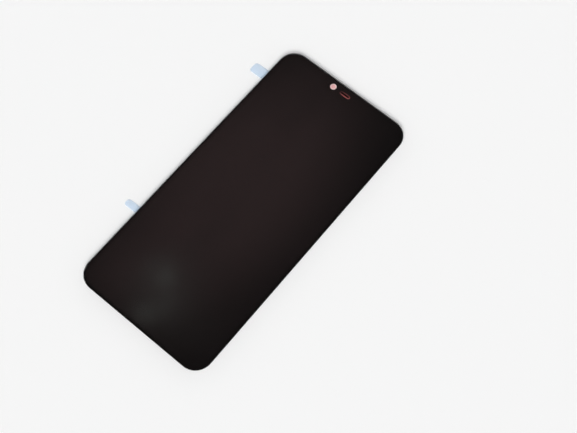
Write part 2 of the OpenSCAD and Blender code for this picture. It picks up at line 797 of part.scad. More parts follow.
// Pull tab: stuck flat on the rear film, then drooping in an arc past the edge, with a round tip.
module pull_tab(y, width, reach, tip_r) {
    film_edge = active_w / 2 + film_grow;
    tip_x = -glass_w / 2 - reach;
    root_x = tab_lap - film_edge;
    bend_x = -active_w / 2 - pan_grow;
    run = bend_x - tip_x;
    arc_r = (run * run + tab_droop * tab_droop) / (2 * tab_droop);
    z_top = z_pan - film_t;
    intersection() {
        translate([0, 0, z_top - tab_droop - past]) linear_extrude(tab_droop + 2 * past)
            rounded_rect(tip_x, root_x, y - width / 2, y + width / 2, tip_r, tip_r);
        translate([0, y + width / 2 + past, 0]) rotate([90, 0, 0]) linear_extrude(width + 2 * past) {
            translate([bend_x, z_top - film_t]) square([root_x - bend_x + past, film_t]);
            translate([bend_x, z_top - arc_r]) intersection() {
                difference() {
                    circle(arc_r, $fn = 256);
                    circle(arc_r - film_t, $fn = 256);
                }
                translate([-run - past, arc_r / 2]) square([run + past, arc_r]);
            }
        }
    }
}

module upper_pull_tab() {
    color([0.55, 0.68, 0.92]) pull_tab(upper_tab_y, upper_tab_w, upper_tab_reach, upper_tab_w * 0.28);
}

module lower_pull_tab() {
    color([0.55, 0.68, 0.92]) pull_tab(lower_tab_y, lower_tab_w, lower_tab_reach, lower_tab_w * 0.45);
}

cover_glass();
border_print();
optical_adhesive();
front_polariser();
filter_glass();
transistor_glass();
driver_chip();
rear_polariser();
rim_tape();
upper_prism_film();
lower_prism_film();
diffuser_film();
light_guide();
reflector_film();
led_strip();
leds();
backlight_frame();
rear_pan();
main_flex();
flex_tape();
connector_stiffener();
connector_housing();
connector_contacts();
connector_anchors();
touch_chip();
memory_chip();
flex_capacitors();
led_solder();
grounding_foil();
earpiece_gasket();
earpiece_mesh();
camera_film();
rear_film();
upper_pull_tab();
lower_pull_tab();
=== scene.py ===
"""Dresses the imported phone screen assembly: cover glass, print, films, backlight, folded flex and stage."""

import math

import bmesh
import bpy
from bpy.props import FloatProperty, FloatVectorProperty, IntProperty, PointerProperty
from mathutils import Matrix, Vector


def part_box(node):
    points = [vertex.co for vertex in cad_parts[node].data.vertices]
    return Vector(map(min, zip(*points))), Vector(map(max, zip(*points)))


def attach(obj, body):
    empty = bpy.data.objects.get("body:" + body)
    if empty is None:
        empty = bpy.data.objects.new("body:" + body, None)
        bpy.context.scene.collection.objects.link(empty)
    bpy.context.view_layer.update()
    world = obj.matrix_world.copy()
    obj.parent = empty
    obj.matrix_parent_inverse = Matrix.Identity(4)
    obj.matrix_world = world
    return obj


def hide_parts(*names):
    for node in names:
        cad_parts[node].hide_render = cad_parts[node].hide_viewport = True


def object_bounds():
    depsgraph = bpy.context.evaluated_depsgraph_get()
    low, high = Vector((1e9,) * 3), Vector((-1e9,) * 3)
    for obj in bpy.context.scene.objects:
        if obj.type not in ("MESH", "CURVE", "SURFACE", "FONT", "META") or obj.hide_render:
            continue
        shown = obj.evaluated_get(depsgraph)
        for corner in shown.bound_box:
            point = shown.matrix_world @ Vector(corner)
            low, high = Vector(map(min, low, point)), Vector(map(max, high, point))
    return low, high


bl_info = {
    "name": "Phone Screen Assembly",
    "version": (1, 0, 0),
    "blender": (4, 5, 0),
    "location": "View3D > Sidebar > Phone Screen",
    "description": "Dresses a phone screen assembly with its glass, films, backlight, flex and stage",
    "category": "Mesh",
}

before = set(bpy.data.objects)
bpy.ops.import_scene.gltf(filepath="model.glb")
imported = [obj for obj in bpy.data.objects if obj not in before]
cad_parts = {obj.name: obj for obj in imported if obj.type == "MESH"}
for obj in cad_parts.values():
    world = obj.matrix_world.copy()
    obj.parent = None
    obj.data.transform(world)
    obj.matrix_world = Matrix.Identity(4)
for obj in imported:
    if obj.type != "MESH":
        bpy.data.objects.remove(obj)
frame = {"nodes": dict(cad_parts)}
cad_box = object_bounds()
MM = 0.001
CLEAR_FILM_GAP = 0.003 * MM  # a clear film that touched what it covers would hide it
JUST_UNDER = 0.9999  # share of half the width that a full round end can have as its radius
ROUND_END_STEPS = 16
WHITE = (1.0, 1.0, 1.0, 1.0)
SOCKET_NAMES = {"Specular": "Specular IOR Level", "Coat": "Coat Weight"}
# Paler patches of the card, in millimetres on the glass that shows them: middle, reach and weight
CLOUD_PATCHES = (
    ((0.0, -59.0), (22.0, 20.0), 1.0),
    ((-7.0, -50.0), (9.0, 7.0), 4.2),
    ((-1.0, -70.0), (5.0, 5.0), 4.5),
    ((4.0, -61.0), (6.0, 8.0), 1.6),
)


def middle(node):
    """Middle of a CAD node's box."""
    low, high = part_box(node)
    return (low + high) / 2


def length(name, description, default_mm):
    """A length property, given in millimetres."""
    return FloatProperty(name=name, description=description, default=default_mm * MM, min=0.0,
                         precision=5, unit="LENGTH")


def colour(name, description, default):
    """A colour property."""
    return FloatVectorProperty(name=name, description=description, default=default, size=3,
                               min=0.0, max=1.0, subtype="COLOR")


def share(name, description, default, highest=1.0):
    """A plain number property, such as a roughness."""
    return FloatProperty(name=name, description=description, default=default, min=0.0, max=highest)


class GlassSettings(bpy.types.PropertyGroup):
    """Cover glass."""

    corner_radius: length("Corner radius", "Radius of the glass's four corners", 8.7)
    edge_run: length("Edge run", "How far the front edge's curve runs in from the side", 1.3)
    edge_drop: length("Edge drop", "How far the front edge's curve drops at the side", 0.35)
    edge_softness: length("Edge softness", "Round between the curve and the side", 0.06)
    back_bevel: length("Back bevel", "Bevel round the back edge", 0.12)
    slot_length: length("Slot length", "Length of the earpiece slot", 5.8)
    slot_width: length("Slot width", "Width of the earpiece slot", 1.8)
    slot_round: length("Slot round", "Round of the slot's front rim", 0.1)
    seat: length("Seat", "How far the print lies inside the glass's back, as bonded", 0.003)
    roughness: share("Roughness", "Roughness of the polished face", 0.07)
    smear: share("Smear", "Extra roughness where the face has been touched", 0.1)
    corner_steps: IntProperty(name="Corner steps", description="Steps round each corner", default=32, min=4)
    edge_steps: IntProperty(name="Edge steps", description="Steps across the curved edge", default=16, min=3)


class ColourSettings(bpy.types.PropertyGroup):
    """Colours of the finishes."""

    ground_edge: colour("Glass edge", "Ground side of the cover glass", (0.012, 0.012, 0.013))
    print_black: colour("Print", "Black print behind the glass", (0.0024, 0.0014, 0.0014))
    picture_black: colour("Picture area", "Front polariser with the picture off", (0.0026, 0.0016, 0.0017))
    cell_glass: colour("Cell glass", "Edge of the cell's two glasses", (0.16, 0.24, 0.23))
    # The window film's pale colour is its own; its pink tint is painted light from a pink surround.
    film_centre: colour("Window film", "Middle of the camera window's film", (0.92, 0.46, 0.455))
    film_rim: colour("Window film's rim", "Rim of the camera window's film", (0.95, 0.70, 0.68))
    gasket: colour("Gasket", "Red foam of the earpiece gasket", (0.70, 0.17, 0.16))
    tab_blue: colour("Tab", "Pull tabs", (0.40, 0.68, 1.0))
    release_blue: colour("Release film", "Film over the pan", (0.55, 0.72, 0.95))
    steel: colour("Pan", "Steel of the pan", (0.60, 0.61, 0.63))
    resin: colour("Frame", "White resin of the frame", (0.86, 0.86, 0.84))
    polyimide: colour("Flex", "Amber cover film of the main flex", (0.36, 0.135, 0.02))
    copper: colour("Copper", "Traces under the cover film", (0.20, 0.06, 0.008))
    strip_white: colour("Lamp strip", "White cover of the lamp strip", (0.80, 0.80, 0.74))
    tape_black: colour("Tape", "Black tape", (0.018, 0.018, 0.019))
    chip_black: colour("Chip", "Moulded chip resin", (0.028, 0.028, 0.031))
    ceramic: colour("Capacitor", "Capacitor body", (0.33, 0.21, 0.12))
    tin: colour("Tin", "Tinned metal", (0.72, 0.71, 0.69))
    gold: colour("Gold", "Plated contacts", (0.88, 0.62, 0.26))
    housing: colour("Connector", "Connector's moulded body", (0.78, 0.70, 0.55))


class RoundingSettings(bpy.types.PropertyGroup):
    """Roundings of the pieces' edges."""

    pan: length("Pan", "Rolled edges of the steel pan", 0.03)
    frame: length("Frame", "Edges of the white frame", 0.02)
    flex: length("Flex", "Edges of the two flex circuits", 0.02)
    foil: length("Foil", "Edges of the grounding foil", 0.015)
    film: length("Film", "Edges of the release film, the pull tabs and the window film", 0.012)
    gasket: length("Gasket", "Lips of the earpiece gasket", 0.04)
    moulding: length("Connector", "Edges of the connector's housing and anchors", 0.02)
    contact: length("Contacts", "Edges of the connector's contacts", 0.012)
    chip: length("Chips", "Edges of the two chips", 0.04)
    capacitor: length("Capacitors", "Edges of the capacitors", 0.02)
    solder: length("Solder", "Edges of the solder joints", 0.06)


class StageSettings(bpy.types.PropertyGroup):
    """Floor, lights and camera."""

    floor_colour: colour("Floor", "Colour of the floor", (0.97, 0.97, 0.97))
    floor_size: FloatProperty(name="Floor size", description="Side of the floor", default=6.0, unit="LENGTH")
    horizon: share("Horizon", "Brightness of the room at the horizon", 0.8, 4.0)
    ceiling: share("Ceiling", "Brightness of the room overhead", 0.08, 4.0)
    below: share("Below", "Brightness of the room under the floor", 0.95, 4.0)
    key_strength: share("Key light", "Strength of the light from above", 3.1, 20.0)
    card_height: FloatProperty(name="Card height", description="Height of the soft card over the screen",
                               default=0.9, unit="LENGTH")
    card_light: share("Card", "Brightness of the soft card at its middle", 0.42, 4.0)
    cloud_light: share("Cloud", "Brightness of the paler patches on the card", 0.19, 4.0)
    camera_place: FloatVectorProperty(name="Camera", description="Place of the camera", size=3,
                                      default=(0.127643, -0.127985, 0.444209), subtype="TRANSLATION")
    camera_aim: FloatVectorProperty(name="Aim", description="Point that the camera looks at", size=3,
                                    default=(0.01909, 0.00658, 0.0), subtype="TRANSLATION")
    camera_roll: FloatProperty(name="Roll", description="Turn of the camera about its own axis",
                               default=math.radians(0.66), subtype="ANGLE")
    camera_lens: FloatProperty(name="Lens", description="Focal length in millimetres", default=64.57)


class ScreenSettings(bpy.types.PropertyGroup):
    """All the settings of the phone screen."""

    glass: PointerProperty(type=GlassSettings)
    colours: PointerProperty(type=ColourSettings)
    rounding: PointerProperty(type=RoundingSettings)
    stage: PointerProperty(type=StageSettings)


def rgba(value, factor=1.0):
    """A colour with full opacity, darker or lighter by a factor."""
    return (value[0] * factor, value[1] * factor, value[2] * factor, 1.0)


class Value:
    """An output of a material's node. Arithmetic on it adds Math nodes."""

    def __init__(self, finish, socket):
        self.finish = finish
        self.socket = socket

    def math(self, operation, first, second=0.0):
        """A Math node on two values."""
        return self.finish.node("Math", {"operation": operation}, {0: first, 1: second})

    def __add__(self, other):
        return self.math("ADD", self, other)

    __radd__ = __add__

    def __sub__(self, other):
        return self.math("SUBTRACT", self, other)

    def __rsub__(self, other):
        return self.math("SUBTRACT", other, self)

    def __mul__(self, other):
        return self.math("MULTIPLY", self, other)

    __rmul__ = __mul__

    def __truediv__(self, other):
        return self.math("DIVIDE", self, other)

    def __pow__(self, other):
        return self.math("POWER", self, other)

    def __abs__(self):
        return self.math("ABSOLUTE", self)

    def __mod__(self, other):
        return self.math("FLOORED_MODULO", self, other)

    def over(self, limit):
        """1 where the value is over the limit, else 0."""
        return self.math("GREATER_THAN", self, limit)

    def under(self, limit):
        """1 where the value is under the limit, else 0."""
        return self.math("LESS_THAN", self, limit)

    def most(self, other):
        """The larger of two values."""
        return self.math("MAXIMUM", self, other)

    def least(self, other):
        """The smaller of two values."""
        return self.math("MINIMUM", self, other)

    def ramp(self, low, high, start=0.0, end=1.0):
        """The value carried smoothly from low..high to start..end."""
        settings = {"interpolation_type": "SMOOTHSTEP"}
        values = {"Value": self, "From Min": low, "From Max": high, "To Min": start, "To Max": end}
        return self.finish.node("MapRange", settings, values)


class Finish:
    """A material, or the world, that is built from nodes."""

    def __init__(self, name, owner=None):
        self.owner = owner or bpy.data.materials.new(name)
        self.owner.use_nodes = True
        self.tree = self.owner.node_tree
        self.tree.nodes.clear()

    def node(self, kind, settings=None, values=None, output=0):
        """Adds a node: its settings come first, then the values or links of its sockets."""
        made = self.tree.nodes.new("ShaderNode" + kind)
        for key, value in (settings or {}).items():
            setattr(made, key, value)
        for key, value in (values or {}).items():
            socket = made.inputs[key]
            if isinstance(value, Value):
                self.tree.links.new(value.socket, socket)
            else:
                socket.default_value = value
        return Value(self, made.outputs[output]) if made.outputs else None

    def place(self, scale=(1.0, 1.0, 1.0), origin=(0.0, 0.0, 0.0), turn=0.0):
        """Object coordinates from an origin, turned about Z and then scaled."""
        coordinates = self.node("TexCoord", output="Object")
        moved = self.node("VectorMath", {"operation": "SUBTRACT"}, {0: coordinates, 1: origin})
        return self.node("Mapping", None, {"Vector": moved, "Rotation": (0.0, 0.0, turn), "Scale": scale})

    def axes(self, vector):
        """The three parts of a vector."""
        split = self.node("SeparateXYZ", None, {"Vector": vector})
        return [Value(self, part) for part in split.socket.node.outputs]

    def noise(self, vector, scale, detail=2.0, rough=0.5):
        """Noise from 0 to 1."""
        values = {"Vector": vector, "Scale": scale, "Detail": detail, "Roughness": rough}
        return self.node("TexNoise", None, values, "Fac")

    def cells(self, vector, scale):
        """Distance to the nearest of scattered points."""
        return self.node("TexVoronoi", None, {"Vector": vector, "Scale": scale}, "Distance")

    def blend(self, factor, first, second):
        """A colour between two others."""
        return self.node("Mix", {"data_type": "RGBA"}, {0: factor, 6: first, 7: second}, 2)

    def bump(self, height, depth, strength=1.0, under=None):
        """A normal from a height of 0 to 1, with the depth in metres."""
        values = {"Height": height, "Distance": depth, "Strength": strength}
        if under is not None:
            values["Normal"] = under
        return self.node("Bump", None, values)

    def outside(self):
        """1 on the outer side of a surface, 0 on its inner side."""
        return 1.0 - self.node("NewGeometry", output="Backfacing")

    def surface(self, base, roughness, **sockets):
        """A Principled shader. Further sockets are named with underscores for spaces."""
        values = {"Base Color": base, "Roughness": roughness}
        for key, value in sockets.items():
            values[SOCKET_NAMES.get(key, key.replace("_", " "))] = value
        return self.node("BsdfPrincipled", None, values)

    def mixed(self, factor, first, second):
        """A shader between two others."""
        return self.node("MixShader", None, {0: factor, 1: first, 2: second})

    def done(self, shader, output="OutputMaterial"):
        """Joins the shader to the output and gives the material or the world."""
        self.node(output, None, {"Surface": shader})
        return self.owner


def new_piece(name, bm, materials, body="root"):
    """Makes an object from a bmesh, with its materials, and lets it ride on its body."""
    mesh = bpy.data.meshes.new(name)
    bm.to_mesh(mesh)
    bm.free()
    piece = bpy.data.objects.new(name, mesh)
    bpy.context.scene.collection.objects.link(piece)
    for material in materials:
        mesh.materials.append(material)
    if body:
        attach(piece, body)
    return piece


def soften(bm, angle=math.radians(35)):
    """Smooth shading, but flat on level faces and sharp where faces meet at more than the angle."""
    for face in bm.faces:
        face.smooth = abs(face.normal.z) < 0.9999
    for edge in bm.edges:
        edge.smooth = edge.calc_face_angle(0.0) < angle


def rounded_face(bm, size, centre, z, radius, steps):
    """One flat face, facing up, with round corners."""
    before = set(bm.faces)
    corners = bmesh.ops.create_grid(bm, x_segments=1, y_segments=1, size=0.5)["verts"]
    bmesh.ops.scale(bm, vec=(size[0], size[1], 1.0), verts=corners)
    bmesh.ops.translate(bm, vec=(centre[0], centre[1], z), verts=corners)
    bmesh.ops.bevel(bm, geom=corners, offset=radius, offset_type="OFFSET", segments=steps,
                    profile=0.5, affect="VERTICES", material=-1)
    return next(face for face in bm.faces if face not in before)


def round_edges(bm, edges, radius, segments, clamp=False):
    """Rounds some edges. With the clamp, no rounding runs past its neighbour."""
    bmesh.ops.bevel(bm, geom=edges, offset=radius, offset_type="OFFSET", segments=segments,
                    profile=0.5, affect="EDGES", material=-1, clamp_overlap=clamp)


def open_loop(bm, face):
    """Takes a face away and gives its edges."""
    edges = list(face.edges)
    bmesh.ops.delete(bm, geom=[face], context="FACES_ONLY")
    return edges


def refined(node, name, rounding, materials, segments=2, lower=0.0):
    """A merged copy of a CAD node with its edges rounded, which stands for the node.

    A clear film lies a few thousandths of a millimetre lower than what it covers, so that both are seen.
    """
    bm = bmesh.new()
    bm.from_mesh(frame["nodes"][node].data)
    bmesh.ops.remove_doubles(bm, verts=bm.verts, dist=0.0005 * MM)
    bmesh.ops.dissolve_limit(bm, angle_limit=math.radians(0.5), verts=bm.verts, edges=bm.edges)
    edges = [edge for edge in bm.edges if edge.calc_face_angle(0.0) > math.radians(40)]
    round_edges(bm, edges, rounding, segments, clamp=True)
    bmesh.ops.translate(bm, vec=(0.0, 0.0, -lower), verts=bm.verts)
    bmesh.ops.recalc_face_normals(bm, faces=bm.faces)
    soften(bm)
    for face in bm.faces:
        face.material_index = 0
    piece = new_piece(name, bm, materials)
    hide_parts(node)
    return piece


def dress(node, material):
    """Gives a CAD node its finish."""
    slots = frame["nodes"][node].data.materials
    for index in range(len(slots)):
        slots[index] = material


def polished_glass(settings):
    """Clear polished glass: a mirror by its Fresnel share, and clear behind."""
    finish = Finish("polished_glass")
    touched = finish.noise(finish.place(scale=(1.0, 0.45, 1.0), turn=0.6), 38.0, 2.0, 0.5)
    rough = settings.glass.roughness + settings.glass.smear * touched.ramp(0.42, 0.78)
    mirror = finish.surface(WHITE, rough, Metallic=1.0)
    clear = finish.node("BsdfTransparent", None, {"Color": (0.96, 0.97, 0.97, 1.0)})
    facing = finish.node("Fresnel", None, {"IOR": 1.5})
    return finish.done(finish.mixed(facing * finish.outside(), clear, mirror))


def bonded_back():
    """Glass where it is bonded to the print: no surface is seen."""
    finish = Finish("bonded_back")
    return finish.done(finish.node("BsdfTransparent", None, {"Color": WHITE}))


def ground_edge(settings):
    """Side of the glass, ground and dark with the print behind it."""
    finish = Finish("ground_glass_edge")
    grain = finish.noise(finish.place(), 9000.0, 3.0)
    rough = 0.16 + 0.14 * grain
    normal = finish.bump(grain, 0.002 * MM)
    return finish.done(finish.surface(rgba(settings.colours.ground_edge), rough, Normal=normal))


def plain_black(name, base, rough, variation):
    """A black that gives back almost nothing, for what lies bonded behind the glass."""
    finish = Finish(name)
    cloud = finish.noise(finish.place(), 60.0, 3.0)
    shade = finish.blend(cloud, rgba(base), rgba(base, 1.0 + variation))
    return finish.done(finish.surface(shade, rough, Specular=0.05))


def tape_finish(name, base):
    """Black tape with fine fibres and a dull sheen."""
    finish = Finish(name)
    fibre = finish.noise(finish.place(scale=(1.0, 0.12, 1.0)), 5200.0, 3.0)
    shade = finish.blend(fibre, rgba(base), rgba(base, 1.7))
    normal = finish.bump(fibre, 0.006 * MM)
    return finish.done(finish.surface(shade, 0.5 + 0.2 * fibre, Normal=normal))


def cell_glass_finish(name, base):
    """Thin display glass, greenish and dark at its scribed edge."""
    finish = Finish(name)
    scribe = finish.noise(finish.place(scale=(1.0, 1.0, 5.0)), 1600.0, 4.0)
    shade = finish.blend(scribe, rgba(base, 0.55), rgba(base))
    normal = finish.bump(scribe, 0.004 * MM)
    return finish.done(finish.surface(shade, 0.08 + 0.2 * scribe, Normal=normal))


def steel_finish(base):
    """Thin rolled steel with fine lines along the roll and faint handling marks."""
    finish = Finish("rolled_steel")
    lines = finish.noise(finish.place(scale=(1.0, 0.015, 1.0)), 7000.0, 3.0, 0.6)
    cloud = finish.noise(finish.place(), 45.0, 4.0)
    marks = finish.noise(finish.place(scale=(1.0, 0.08, 1.0), turn=0.9), 420.0, 2.0).ramp(0.7, 0.78)
    shade = finish.blend(cloud, rgba(base, 0.86), rgba(base))
    rough = 0.22 + 0.12 * lines + 0.1 * cloud - 0.08 * marks
    sag = finish.noise(finish.place(scale=(1.0, 0.5, 1.0)), 35.0, 1.0)
    normal = finish.bump(lines, 0.0012 * MM, 1.0, finish.bump(sag, 0.3 * MM))
    return finish.done(finish.surface(shade, rough, Metallic=1.0, Normal=normal))


def tin_finish(name, base, rough):
    """Tin plating, softly mottled."""
    finish = Finish(name)
    mottle = finish.noise(finish.place(), 3500.0, 3.0)
    shade = finish.blend(mottle, rgba(base, 0.82), rgba(base))
    normal = finish.bump(mottle, 0.004 * MM)
    return finish.done(finish.surface(shade, rough + 0.18 * mottle, Metallic=1.0, Normal=normal))


def resin_finish(name, base, rough=0.42, grain_scale=2600.0):
    """Moulded resin with a fine grain."""
    finish = Finish(name)
    grain = finish.noise(finish.place(), grain_scale, 3.0)
    cloud = finish.noise(finish.place(), 120.0, 2.0)
    shade = finish.blend(cloud, rgba(base), rgba(base, 0.9))
    normal = finish.bump(grain, 0.004 * MM)
    return finish.done(finish.surface(shade, rough + 0.12 * grain, Normal=normal))


def film_finish(name, base, rough, alpha, pitch_mm=0.0):
    """A backlight film. A pitch gives it fine prism lines across."""
    finish = Finish(name)
    here = finish.place()
    y = finish.axes(here)[1]
    cloud = finish.noise(here, 90.0, 2.0)
    shade = finish.blend(cloud, rgba(base), rgba(base, 0.93))
    if pitch_mm:
        height = abs((y / (pitch_mm * MM)) % 1.0 - 0.5) * 2.0
        normal = finish.bump(height, pitch_mm * 0.4 * MM)
    else:
        height = finish.noise(here, 8000.0, 2.0)
        normal = finish.bump(height, 0.003 * MM)
    return finish.done(finish.surface(shade, rough + 0.1 * cloud, Alpha=alpha, Normal=normal))


def guide_finish():
    """Clear light guide with a field of printed dots that grow away from the lamps."""
    finish = Finish("light_guide_dots")
    here = finish.place()
    y = finish.axes(here)[1]
    low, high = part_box("light_guide")
    along = y.ramp(low.y, high.y)
    pitch = 0.9 * MM
    across = finish.node("VectorMath", {"operation": "SCALE"}, {0: here, 3: 1.0 / pitch})
    du, dv = (abs(axis % 1.0 - 0.5) for axis in finish.axes(across)[:2])
    distance = (du * du + dv * dv) ** 0.5
    dots = (0.12 + 0.22 * along - distance).ramp(-0.02, 0.02)
    shade = finish.blend(dots, (0.62, 0.7, 0.72, 1.0), (0.92, 0.94, 0.94, 1.0))
    normal = finish.bump(dots, 0.01 * MM)
    return finish.done(finish.surface(shade, 0.12 + 0.4 * dots, Alpha=0.7, Normal=normal))


def lamp_finish():
    """White lamp body with its yellow phosphor on the side that faces the light guide."""
    finish = Finish("lamp_phosphor")
    y = finish.axes(finish.place())[1]
    face = y.over(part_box("leds")[1].y - 0.05 * MM)
    rim = finish.noise(finish.place(), 4000.0, 2.0)
    phosphor = finish.blend(rim, (0.9, 0.72, 0.12, 1.0), (0.95, 0.82, 0.25, 1.0))
    shade = finish.blend(face, (0.9, 0.9, 0.88, 1.0), phosphor)
    return finish.done(finish.surface(shade, 0.35 + 0.2 * rim))


def silicon_finish():
    """Polished silicon die with rows of circuit blocks."""
    finish = Finish("silicon_die")
    bricks = {"Vector": finish.place(), "Scale": 1.0, "Brick Width": 0.55 * MM, "Row Height": 0.22 * MM,
              "Mortar Size": 0.02 * MM, "Color1": (0.06, 0.06, 0.09, 1.0), "Color2": (0.13, 0.11, 0.14, 1.0),
              "Mortar": (0.25, 0.25, 0.28, 1.0)}
    blocks = finish.node("TexBrick", None, bricks)
    polish = finish.noise(finish.place(), 1500.0, 2.0)
    return finish.done(finish.surface(blocks, 0.08 + 0.12 * polish, Metallic=0.6))


def chip_finish(settings, node, dot_mm):
    """Moulded chip with a fine grain, a paler sawn side and one small round mark at a corner."""
    finish = Finish(node + "_resin")
    low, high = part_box(node)
    base = settings.colours.chip_black
    grain = finish.noise(finish.place(), 6500.0, 3.0)
    mark_at = (low.x + 2.4 * dot_mm * MM, high.y - 2.4 * dot_mm * MM, low.z)
    x, y, z = finish.axes(finish.place(origin=mark_at))
    distance = (x * x + y * y) ** 0.5
    mark = distance.ramp(dot_mm * MM, dot_mm * 1.15 * MM, 1.0, 0.0)
    side = z.over(0.06 * MM)
    shade = finish.blend(grain, rgba(base), rgba(base, 1.6))
    shade = finish.blend(side * 0.5, shade, (0.09, 0.085, 0.08, 1.0))
    shade = finish.blend(mark * 0.7, shade, (0.075, 0.075, 0.08, 1.0))
    normal = finish.bump(grain * (1.0 - mark) - 2.0 * mark, 0.005 * MM)
    return finish.done(finish.surface(shade, 0.52 + 0.2 * grain - 0.2 * mark, Normal=normal))


def lanes(value, pitch_mm, width=0.5):
    """1 on parallel traces, 0 between them."""
    return abs((value / (pitch_mm * MM)) % 1.0 - 0.5).under(width / 2)


def flex_finish(settings):
    """Amber cover film over copper: traces fan in to the tail, with a hatched ground beside."""
    finish = Finish("amber_flex")
    colours = settings.colours
    here = finish.place()
    tail = middle("connector_housing")
    fan_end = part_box("main_flex")[0].y + 2.2 * MM
    board_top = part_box("touch_chip")[1].y + 3.4 * MM
    x, y = finish.axes(finish.place(origin=(tail.x, fan_end, 0.0)))[:2]
    off = abs(x)
    climb = y.most(0.0)
    fan = off + climb
    in_fan = fan.under(15.4 * MM)
    past_board = y.over(board_top - fan_end)
    in_tail = past_board * off.under(4.0 * MM)
    on_board = 1.0 - past_board
    fanned = lanes(fan, 0.34) * in_fan * on_board
    straight = lanes(x, 0.34) * in_tail
    hatch = lanes(x + y, 0.55, 0.3).most(lanes(x - y, 0.55, 0.3)) * (1.0 - in_fan) * on_board
    beside = x.over(18.0 * MM)
    supply = abs(abs(y - 4.6 * MM) - 0.55 * MM).under(0.36 * MM) * beside
    copper = (fanned + straight + hatch * (1.0 - beside) + supply).least(1.0)
    cloud = finish.noise(here, 260.0, 3.0)
    film = finish.blend(cloud, rgba(colours.polyimide), rgba(colours.polyimide, 0.82))
    shade = finish.blend(copper * 0.75, film, rgba(colours.copper))
    normal = finish.bump(copper, 0.005 * MM)
    normal = finish.bump(cloud, 0.02 * MM, 0.6, normal)
    return finish.done(finish.surface(shade, 0.24 + 0.14 * cloud, Normal=normal, Coat=0.35,
                                      Coat_Roughness=0.12))


def strip_finish(settings):
    """White lamp strip with the ridge of its two supply traces."""
    finish = Finish("white_flex")
    base = settings.colours.strip_white
    tail = middle("led_solder")
    x = finish.axes(finish.place(origin=(tail.x, 0.0, 0.0)))[0]
    lane = abs(abs(x) - 1.5 * MM)
    trace = lane.ramp(0.55 * MM, 0.65 * MM, 1.0, 0.0)
    cloud = finish.noise(finish.place(), 500.0, 3.0)
    shade = finish.blend(cloud, rgba(base), rgba(base, 0.93))
    shade = finish.blend(trace * 0.35, shade, (0.62, 0.55, 0.42, 1.0))
    normal = finish.bump(trace, 0.015 * MM)
    return finish.done(finish.surface(shade, 0.38 + 0.1 * cloud, Normal=normal))


def woven_finish(name, base, pitch_mm, metallic, rough, shine=0.5):
    """Plain weave, with threads along X and Y that pass over and under, and painted shade where they dip."""
    finish = Finish(name)
    turn = 2.0 * math.pi / (pitch_mm * MM)
    waves = [finish.node("Math", {"operation": "SINE"}, {0: axis * turn})
             for axis in finish.axes(finish.place())[:2]]
    height = 0.5 + 0.5 * abs(waves[0] * waves[1])
    cloud = finish.noise(finish.place(), 300.0, 2.0)
    # Painted shade: the weave is darker where its threads dip.
    dark = rgba(base, 0.45)
    shade = finish.blend(height.ramp(0.45, 0.8), dark, rgba(base))
    normal = finish.bump(height, pitch_mm * 0.25 * MM)
    return finish.done(finish.surface(shade, rough + 0.15 * cloud, Metallic=metallic, Specular=shine,
                                      Normal=normal))


def gasket_finish(settings):
    """Red foam under painted shade, which darkens its front side but for a thin red line round the lip of its
    collar.
    """
    finish = Finish("red_gasket")
    glass, red = settings.glass, settings.colours.gasket
    pores = finish.cells(finish.place(), 9000.0)
    cloud = finish.noise(finish.place(), 800.0, 2.0)
    x, y, z = finish.axes(finish.place(origin=middle("earpiece_gasket")))
    past_straight = (abs(x) - (glass.slot_length - glass.slot_width) / 2).most(0.0)
    off_axis = y - 0.1 * MM
    ring = (past_straight * past_straight + off_axis * off_axis) ** 0.5
    # The thin ring round the collar's lip keeps the foam's own red.
    line = abs(ring - 0.75 * MM).ramp(0.09 * MM, 0.17 * MM, 1.0, 0.0)
    # Painted light: the red line fades towards the −x end and a little towards the +y side.
    lit = y.ramp(-0.8 * MM, 0.8 * MM, 1.0, 0.92) * x.ramp(-2.9 * MM, -0.2 * MM, 0.15, 1.0)
    # Painted shade: the foam darkens further down its collar, away from the front.
    top = z.ramp(0.08 * MM, 0.3 * MM)
    back = z.under(-0.25 * MM) * ring.over(1.0 * MM) * 0.6
    shade = finish.blend(cloud, rgba(red), rgba(red, 0.7))
    # The near-black is painted shade over the front, outside the line; the back keeps its red.
    shade = finish.blend((line * lit * top).most(back), (0.012, 0.006, 0.006, 1.0), shade)
    normal = finish.bump(pores, 0.01 * MM)
    return finish.done(finish.surface(shade, 0.6 + 0.2 * cloud, Normal=normal))


def window_film_finish(settings):
    """Pale film behind the camera window, pink as painted light from a pink surround: a paler rim, one faint
    ring inside it, and painted shade towards its −x side.
    """
    finish = Finish("window_film")
    colours = settings.colours
    centre = middle("camera_film")
    x, y = finish.axes(finish.place(origin=(centre.x, centre.y, 0.0)))[:2]
    distance = (x * x + y * y) ** 0.5
    rim = distance.ramp(0.85 * MM, 1.4 * MM)
    ring = abs(distance - 0.57 * MM).ramp(0.1 * MM, 0.3 * MM, 1.0, 0.0)
    # Painted shade: the film darkens towards its −x side.
    painted_shade_side = x.ramp(-1.6 * MM, 1.2 * MM, 0.45, 0.0)
    cloud = finish.noise(finish.place(), 900.0, 2.0)
    shade = finish.blend(0.75 * rim + 0.25, rgba(colours.film_centre), rgba(colours.film_rim))
    shade = finish.blend(ring * 0.8, shade, rgba(colours.film_centre))
    # The darker pink is the painted shade's colour; the cloud is the film's own uneven tone.
    shade = finish.blend(painted_shade_side.most(cloud * 0.15), shade, (0.6, 0.3, 0.3, 1.0))
    return finish.done(finish.surface(shade, 0.4 + 0.1 * cloud, Normal=finish.bump(ring, 0.01 * MM)))


def tab_finish(settings):
    """Clear blue film of the pull tabs, with fine scratches along it."""
    finish = Finish("blue_tab_film")
    scratches = finish.noise(finish.place(scale=(0.05, 1.0, 1.0)), 5200.0, 2.0)
    cloud = finish.noise(finish.place(), 420.0, 2.0)
    base = settings.colours.tab_blue
    shade = finish.blend(cloud, rgba(base), rgba(base, 0.9))
    normal = finish.bump(scratches, 0.002 * MM)
    alpha = (0.28 + 0.06 * cloud) * finish.outside()
    return finish.done(finish.surface(shade, 0.16 + 0.1 * scratches, Alpha=alpha, Normal=normal))


